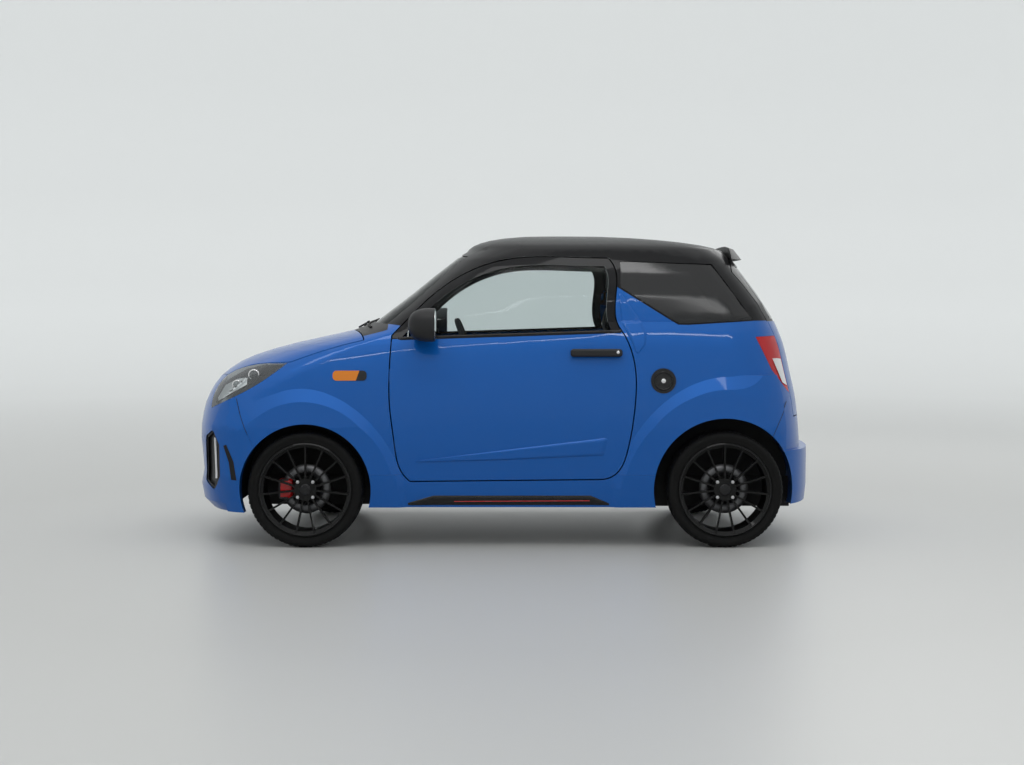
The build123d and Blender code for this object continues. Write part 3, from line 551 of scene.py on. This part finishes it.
for side, sign in SIDES:
    build_shade_sheets(side, sign)
for end, axle in ENDS:
    for side, sign in SIDES:
        build_tyre(end, axle, side, sign)
        build_wheel_details(end, axle, side, sign)
for side, sign in SIDES:
    build_caliper(side, sign)


# Side trim

DOOR_BULGE_TOP = [(0.414, 0.405), (0.0, 0.456), (-0.482, 0.514)]
DOOR_BULGE_BOTTOM = [(0.414, 0.400), (0.0, 0.408), (-0.462, 0.428)]
SILL_INSERT_TOP = [(0.451, 0.207), (0.330, 0.243), (-0.400, 0.243), (-0.488, 0.205)]
SILL_INSERT_BOTTOM = [(0.451, 0.196), (0.330, 0.196), (-0.400, 0.196), (-0.488, 0.196)]
SILL_LINE_TOP = [(0.252, 0.218), (-0.414, 0.222)]
SILL_LINE_BOTTOM = [(0.252, 0.211), (-0.414, 0.214)]
BUMPER_SEAM = [(1.250, 0.690), (1.226, 0.610), (1.190, 0.525)]
REAR_BUMPER_SEAM = [(-1.332, 0.672), (-1.266, 0.548), (-1.247, 0.508)]


def build_side_trim(side, sign):
    """Door bulge, sill insert, bumper seams and door lock."""
    body_skin = skin_of("sills", f"fender_{side}", f"quarter_{side}", "front_bumper", "rear_bumper",
                        "headlamps", "tail_lamps")
    door_skin = skin_of(f"door_{side}")
    patch(f"door_bulge_{side}", door_skin, sign, DOOR_BULGE_TOP, DOOR_BULGE_BOTTOM, 0.006, BLUE,
          f"door_{side}", 60, 10)
    patch(f"sill_insert_{side}", body_skin, sign, SILL_INSERT_TOP, SILL_INSERT_BOTTOM, 0.005, GLOSS_TRIM,
          "body", 60, 6)
    patch(f"sill_line_{side}", body_skin, sign, SILL_LINE_TOP, SILL_LINE_BOTTOM, 0.0064, RED_PAINT,
          "body", 30, 3)
    seam(f"bumper_seam_{side}", body_skin, sign, BUMPER_SEAM, 0.003, SEAL, "body")
    seam(f"rear_seam_{side}", body_skin, sign, REAR_BUMPER_SEAM, 0.003, SEAL, "body")
    lock = Vector((-0.526, 0, 0.908))
    barrel = [(0.0, 0.7432 * sign), (0.0062, 0.7432 * sign), (0.0074, 0.7424 * sign), (0.0074, 0.738 * sign)]
    turned_piece(f"lock_{side}", barrel, lock, 20, BRIGHT, f"door_{side}", False)


for side, sign in SIDES:
    build_side_trim(side, sign)


# Lamps, vents and glass trim

LAMP_TOP = [(1.368, 0.668), (1.335, 0.763), (1.220, 0.826), (1.110, 0.850), (1.036, 0.851)]
LAMP_BOTTOM = [(1.364, 0.662), (1.300, 0.696), (1.245, 0.724), (1.180, 0.759), (1.098, 0.812), (1.036, 0.847)]
LAMP_BRIGHT_TOP = [(1.358, 0.690), (1.325, 0.748), (1.265, 0.778), (1.205, 0.788)]
LAMP_BRIGHT_BOTTOM = [(1.352, 0.674), (1.300, 0.704), (1.250, 0.730), (1.205, 0.756)]
TAIL_CLEAR_TOP = [(-1.262, 0.876), (-1.290, 0.876), (-1.312, 0.872)]
TAIL_CLEAR_BOTTOM = [(-1.314, 0.762), (-1.328, 0.754), (-1.342, 0.748)]
LED_REAR = [(1.358, 0.500), (1.356, 0.310)]
LED_FRONT = [(1.370, 0.503), (1.368, 0.307)]
VENT_REAR = [(1.294, 0.478), (1.258, 0.400), (1.244, 0.312)]
VENT_FRONT = [(1.310, 0.472), (1.282, 0.395), (1.271, 0.314)]
BELT_TOP = [(0.500, 0.978), (-0.545, 1.012)]
BELT_BOTTOM = [(0.500, 0.962), (-0.545, 0.996)]
PILLAR_SEAL_FRONT = [(-0.503, 1.030), (-0.491, 1.150), (-0.491, 1.300), (-0.462, 1.340)]
PILLAR_SEAL_REAR = [(-0.567, 1.030), (-0.553, 1.150), (-0.553, 1.300), (-0.524, 1.346)]
PILLAR_SEAL_DEPTH = 0.036
SHOULDER_FRONT = [(-0.536, 1.180), (-0.546, 1.040), (-0.594, 0.950), (-0.612, 0.905)]
SHOULDER_REAR = [(-0.546, 1.184), (-0.600, 1.110), (-0.640, 1.050), (-0.664, 0.995), (-0.660, 0.945),
                 (-0.622, 0.901)]
LAMP_UNITS = ((1.175, 0.800, 0.026), (1.262, 0.752, 0.022))
LAMP_DEPTH = 0.012


def build_lamps(side, sign):
    """Lamp insides, day light, vent, shoulder, pillar seal and belt strip on one side."""
    door = f"door_{side}"
    quarter = f"quarter_{side}"
    lamp = skin_of("headlamps")
    patch(f"lamp_bowl_{side}", lamp, sign, LAMP_TOP, LAMP_BOTTOM, -LAMP_DEPTH, GLOSS_TRIM,
          "body", 50, 10, False)
    patch(f"lamp_mirror_{side}", lamp, sign, LAMP_BRIGHT_TOP, LAMP_BRIGHT_BOTTOM, -0.008, REFLECTOR,
          "body", 30, 8, False)
    for i, (x, z, radius) in enumerate(LAMP_UNITS):
        y = skin_y(lamp, x, z, sign) - sign * LAMP_DEPTH
        ring = [(radius, -sign * 0.004), (radius, sign * 0.005), (radius - 0.005, sign * 0.006),
                (radius - 0.006, 0.0)]
        turned_piece(f"lamp_ring_{side}_{i}", ring, Vector((x, y, z)), 40, BRIGHT, "body")
        dome = [(0.0, sign * 0.004), (radius * 0.5, sign * 0.003), (radius - 0.006, -sign * 0.001)]
        turned_piece(f"lamp_lens_{side}_{i}", dome, Vector((x, y, z)), 40, CLEAR, "body", False)
    tail = skin_of("tail_lamps")
    patch(f"tail_clear_{side}", tail, sign, TAIL_CLEAR_TOP, TAIL_CLEAR_BOTTOM, 0.0006, WHITE_LAMP,
          "body", 20, 8, False)
    patch(f"day_light_{side}", skin_of("grille"), sign, LED_FRONT, LED_REAR, 0.002, WHITE_LAMP,
          "body", 30, 3)
    patch(f"vent_{side}", skin_of("front_bumper"), sign, VENT_FRONT, VENT_REAR, 0.0008, SEAL,
          "body", 30, 4, False)
    patch(f"shoulder_{side}", skin_of(quarter), sign, SHOULDER_FRONT, SHOULDER_REAR, 0.0035, BLUE,
          "body", 60, 10)
    pillar = skin_of(f"side_frame_{side}", door, quarter)
    patch(f"pillar_seal_{side}", pillar, sign, PILLAR_SEAL_FRONT, PILLAR_SEAL_REAR, -PILLAR_SEAL_DEPTH, SEAL,
          "body", 40, 4, False)
    patch(f"belt_strip_{side}", skin_of(door), sign, BELT_TOP, BELT_BOTTOM, 0.004, GLOSS_TRIM, door, 60, 4)


def rounded_outline(width, height, corner, steps=8):
    """Points of a rounded rectangle round the origin."""
    points = []
    for quarter, (a, b) in enumerate(((1, 1), (-1, 1), (-1, -1), (1, -1))):
        for i in range(steps + 1):
            angle = math.pi / 2 * (quarter + i / steps)
            points.append((a * (width / 2 - corner) + corner * math.cos(angle),
                           b * (height / 2 - corner) + corner * math.sin(angle)))
    return points


MIRROR_Y = 0.802
MIRROR_Z = 1.036
MIRROR_SECTIONS = [(0.4415, 0.030, 0.022), (0.438, 0.078, 0.064), (0.427, 0.118, 0.100),
                   (0.408, 0.148, 0.130), (0.384, 0.166, 0.147), (0.356, 0.174, 0.154),
                   (0.330, 0.175, 0.155), (0.320, 0.171, 0.151), (0.3178, 0.160, 0.140)]


def build_mirror_glass(side, sign):
    """Mirror glass in a rim on the back of the housing."""
    outline = rounded_outline(0.150, 0.130, 0.050)
    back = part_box(f"mirror_{side}")[0].x
    layers = [[(back - 0.0012 + depth, sign * MIRROR_Y + sign * y, MIRROR_Z + z) for y, z in outline]
              for depth in (0.0, 0.0009)]
    count = len(outline)
    faces = [tuple(range(count)), tuple(range(2 * count - 1, count - 1, -1))]
    faces += [(i, (i + 1) % count, count + (i + 1) % count, count + i) for i in range(count)]
    add_piece(f"mirror_glass_{side}", layers[0] + layers[1], faces, BRIGHT, f"door_{side}", False)


def build_mirror(side, sign):
    """Rounded mirror shell on its foot in place of the plain housing."""
    points = []
    for x, width, height in MIRROR_SECTIONS:
        ring = rounded_outline(width, height, 0.42 * height, 10)
        points += [(x, sign * (MIRROR_Y + y), MIRROR_Z + z) for y, z in ring]
    count = len(points) // len(MIRROR_SECTIONS)
    faces = grid_faces(len(MIRROR_SECTIONS), count, False, True)
    last = len(points) - count
    faces += [tuple(range(count)), tuple(range(last, len(points)))]
    shell = add_piece(f"mirror_shell_{side}", points, faces, TRIM, f"door_{side}")
    split = shell.modifiers.new("split", "EDGE_SPLIT")
    split.split_angle = math.radians(50)
    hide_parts(f"mirror_{side}")
    low, high = sorted((sign * 0.652, sign * 0.752))
    box_piece(f"mirror_foot_{side}", (0.362, low, 0.9695), (0.424, high, 1.0005), TRIM,
              f"door_{side}", 0.010)


def screen_point(tree, y, z, gap):
    """Point in front of the windscreen."""
    hit = tree.ray_cast(Vector((1.4, y, z)), Vector((-1, 0, 0)))[0]
    return Vector((hit.x + gap, y, z))


def build_wipers():
    tree = skin_of("windscreen", "screen_rail", "side_frame_left", "side_frame_right", "cowl")
    for i, (start, end) in enumerate(((0.50, -0.02), (-0.06, -0.46))):
        line = [start + (end - start) * k / 10 for k in range(11)]
        rubber = [screen_point(tree, y, 1.022 + 0.034 * k / 10, 0.009) for k, y in enumerate(line)]
        tube_piece(f"wiper_blade_{i}", rubber, 0.006, SEAL, "body")
        arm = [rubber[5] + Vector((0.010, 0, 0.006)), rubber[8] + Vector((0.018, 0, 0.004)),
               screen_point(tree, end - 0.02, 1.016, 0.020)]
        tube_piece(f"wiper_arm_{i}", arm, 0.005, TRIM, "body")


CAP_RING = [(0.036, -0.001), (0.036, 0.0022), (0.044, 0.0026), (0.046, -0.001)]
CAP_LOCK = [(0.0, 0.0030), (0.009, 0.0028), (0.011, 0.0018), (0.011, -0.001)]


def build_fuel_cap():
    low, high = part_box("fuel_cap")
    centre = Vector(((low.x + high.x) / 2, high.y, (low.z + high.z) / 2))
    turned_piece("fuel_cap_ring", CAP_RING, centre, 48, GLOSS_TRIM, "body")
    turned_piece("fuel_cap_lock", CAP_LOCK, centre, 24, BRIGHT, "body", False)


for side, sign in SIDES:
    build_lamps(side, sign)
    build_mirror_glass(side, sign)
    build_mirror(side, sign)
build_wipers()
build_fuel_cap()


# Seats

SEAT_Y = 0.320
VOXEL = 0.009
SWELL_CAP = 0.014
CUSHION = [(-0.378, 0.338), (0.112, 0.338), (0.112, 0.418), (0.060, 0.430), (-0.378, 0.424)]
BACK = [(-0.312, 0.410), (-0.420, 0.410), (-0.562, 0.950), (-0.490, 0.966)]
HEAD = [(-0.516, 0.996), (-0.572, 0.988), (-0.598, 1.120), (-0.544, 1.128)]


def prism_mesh(name, outline, half_width, bevel):
    """Closed prism across the car from a side-view outline, with its edges rounded."""
    bm = bmesh.new()
    rows = [[bm.verts.new((x, SEAT_Y + y, z)) for x, z in outline] for y in (-half_width, half_width)]
    count = len(outline)
    bm.faces.new(rows[0])
    bm.faces.new(list(reversed(rows[1])))
    for i in range(count):
        j = (i + 1) % count
        bm.faces.new((rows[0][j], rows[0][i], rows[1][i], rows[1][j]))
    bmesh.ops.recalc_face_normals(bm, faces=bm.faces)
    bmesh.ops.bevel(bm, geom=bm.edges[:], offset=bevel, segments=3, affect="EDGES", profile=0.5)
    mesh = bpy.data.meshes.new(name)
    bm.to_mesh(mesh)
    bm.free()
    return mesh


def swollen(name, mesh, groove):
    """Pad swollen by a cloth simulation, its sewn channels pressed in afterwards."""
    pad = bpy.data.objects.new(name, mesh)
    bpy.context.collection.objects.link(pad)
    remesh = pad.modifiers.new("remesh", "REMESH")
    remesh.mode = "VOXEL"
    remesh.voxel_size = VOXEL
    scene = bpy.context.scene
    rest = bpy.data.meshes.new_from_object(pad.evaluated_get(bpy.context.evaluated_depsgraph_get()))
    pad.modifiers.clear()
    pad.data = rest
    start = [v.co.copy() for v in rest.vertices]
    cloth = pad.modifiers.new("cloth", "CLOTH")
    cloth.settings.quality = 4
    cloth.settings.use_pressure = True
    cloth.settings.uniform_pressure_force = 4
    cloth.settings.effector_weights.gravity = 0
    for step in range(1, 21):
        scene.frame_set(step)
    moved = pad.evaluated_get(bpy.context.evaluated_depsgraph_get()).data
    ends = [v.co.copy() for v in moved.vertices]
    pad.modifiers.clear()
    scene.frame_set(1)
    for vertex, old, new in zip(rest.vertices, start, ends):
        step = new - old
        vertex.co = old + step * min(1.0, SWELL_CAP / max(step.length, 1e-9))
    smooth = pad.modifiers.new("smooth", "SUBSURF")
    smooth.levels = 1
    fine = bpy.data.meshes.new_from_object(pad.evaluated_get(bpy.context.evaluated_depsgraph_get()))
    pad.modifiers.clear()
    bpy.data.objects.remove(pad)
    for vertex, normal in zip(fine.vertices, [v.normal.copy() for v in fine.vertices]):
        vertex.co -= normal * groove(vertex.co, normal)
    return fine


def sewn(depth, across_lines, height_lines, direction):
    """Depth of the sewn channels at a point of a pad's face."""
    def groove(place, normal):
        if normal.dot(direction) < 0.35:
            return 0.0
        aside = abs(place.y - SEAT_Y)
        lines = [abs(aside - line) for line in across_lines]
        if aside < max(across_lines):
            lines += [abs(value(place) - line) for value, line in height_lines]
        return depth * sum(math.exp(-(d / 0.006) ** 2) for d in lines)
    return groove


def build_seats():
    """Sewn pads in place of both plain seats, on their bases and head rest posts."""
    upward = Vector((0, 0, 1))
    forward = Vector((0.96, 0, 0.25))
    cushion_lines = [(lambda p: p.x, -0.02), (lambda p: p.x, -0.14)]
    back_lines = [(lambda p: p.z, 0.62), (lambda p: p.z, 0.78)]
    plans = [
        ("cushion", CUSHION, 0.212, 0.024, sewn(0.007, [0.135], cushion_lines, upward)),
        ("back", BACK, 0.212, 0.022, sewn(0.007, [0.135], back_lines, forward)),
        ("head", HEAD, 0.112, 0.016, sewn(0.004, [0.075], [], forward)),
    ]
    for part, outline, half_width, bevel, groove in plans:
        fine = swollen(f"seat_{part}", prism_mesh(f"seat_{part}", outline, half_width, bevel), groove)
        fine.materials.clear()
        fine.materials.append(CLOTH)
        fine.polygons.foreach_set("use_smooth", [True] * len(fine.polygons))
        for side, sign in SIDES:
            mesh = fine.copy()
            if sign < 0:
                mesh.transform(Matrix.Scale(-1, 4, (0, 1, 0)))
                mesh.flip_normals()
            pad = bpy.data.objects.new(f"seat_{part}_{side}", mesh)
            bpy.context.collection.objects.link(pad)
            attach(pad, "body")
            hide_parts("seats")
    for side, sign in SIDES:
        low, high = sorted((sign * 0.152, sign * 0.488))
        box_piece(f"seat_base_{side}", (-0.328, low, 0.2296), (0.088, high, 0.336), CABIN, "body", 0.012)
        for i, offset in enumerate((-0.05, 0.05)):
            y = sign * (SEAT_Y + offset)
            post = [(-0.536, y, 0.930), (-0.548, y, 0.975), (-0.558, y, 1.02)]
            tube_piece(f"seat_post_{side}_{i}", post, 0.006, STEEL, "body")


build_seats()


# Studio

STAGE_RINGS = [(0.0, 0.0), (4.0, 0.0), (13.0, 0.0), (15.0, 0.12), (17.0, 0.55), (19.0, 1.5), (20.5, 3.0),
               (21.5, 5.2), (22.0, 8.0), (22.2, 14.0)]


def build_stage():
    """Round floor that curves up into a tall backdrop, painted dark grey near the car as painted shade and
    pale further out.
    """
    points = []
    segments = 96
    for radius, height in STAGE_RINGS:
        for i in range(segments):
            angle = 2 * math.pi * i / segments
            points.append((radius * math.cos(angle), radius * math.sin(angle), height))
    mesh = bpy.data.meshes.new("studio_floor")
    mesh.from_pydata(points, [], grid_faces(len(STAGE_RINGS), segments, False, True))
    mesh.polygons.foreach_set("use_smooth", [True] * len(mesh.polygons))
    floor = bpy.data.objects.new("studio_floor", mesh)
    bpy.context.collection.objects.link(floor)
    material, nodes, links = new_material("studio_floor")
    noise = add_noise_bump(nodes, links, 3.0, 0.02, 0.001)
    ramp = vary_colour(nodes, links, noise, (0.46, 0.46, 0.45), (0.88, 0.89, 0.89))
    # Painted shade: the floor's colour runs from dark grey within 3 m of the car to pale grey by 18 m.
    place = nodes.new("ShaderNodeTexCoord")
    reach = nodes.new("ShaderNodeVectorMath")
    reach.operation = "LENGTH"
    share = nodes.new("ShaderNodeMapRange")
    share.inputs["From Min"].default_value = 3.0
    share.inputs["From Max"].default_value = 18.0
    links.new(place.outputs["Object"], reach.inputs[0])
    links.new(reach.outputs["Value"], share.inputs["Value"])
    links.new(share.outputs["Result"], ramp.inputs["Fac"])
    shader_of(nodes).inputs["Roughness"].default_value = 0.38
    mesh.materials.append(material)


def area_light(name, place, target, size, power):
    data = bpy.data.lights.new(name, "AREA")
    data.shape = "RECTANGLE"
    data.size, data.size_y = size
    data.energy = power
    lamp = bpy.data.objects.new(name, data)
    lamp.location = place
    lamp.rotation_euler = (Vector(target) - Vector(place)).to_track_quat("-Z", "Y").to_euler()
    bpy.context.collection.objects.link(lamp)


def build_lights():
    world = bpy.data.worlds.new("studio")
    bpy.context.scene.world = world
    world.use_nodes = True
    back = world.node_tree.nodes["Background"]
    back.inputs["Color"].default_value = (0.86, 0.88, 0.88, 1)
    back.inputs["Strength"].default_value = 1.1
    area_light("key", (0.6, 3.8, 5.2), (0, 0, 0.6), (5.0, 0.7), 52)
    area_light("strip", (-0.4, 5.8, 3.9), (0, 0, 0.7), (5.0, 0.07), 14)
    area_light("top", (0, 0, 6.0), (0, 0, 0), (6.0, 4.0), 40)
    area_light("rim_back", (-3.5, -4.5, 3.6), (0, 0, 0.7), (3.0, 2.0), 30)


def build_camera():
    """Camera level with the belt line, square to the car's left side."""
    data = bpy.data.cameras.new("camera")
    camera = bpy.data.objects.new("camera", data)
    bpy.context.collection.objects.link(camera)
    picture_width, picture_height = 1024, 765
    distance = 7.5 + 0.735
    scale = 4.63 * MM
    data.sensor_width = 36.0
    data.lens = data.sensor_width * 7.5 / (scale * picture_width)
    camera.location = (0.0, distance, 1.118)
    camera.rotation_euler = (math.radians(90), 0, math.radians(180))
    data.shift_x = (picture_width / 2 - 504.5) / picture_width
    data.shift_y = (307 - picture_height / 2) / picture_width
    scene = bpy.context.scene
    scene.camera = camera
    scene.render.resolution_x, scene.render.resolution_y = picture_width, picture_height
    scene.view_settings.view_transform = "Standard"


build_stage()
build_lights()
build_camera()
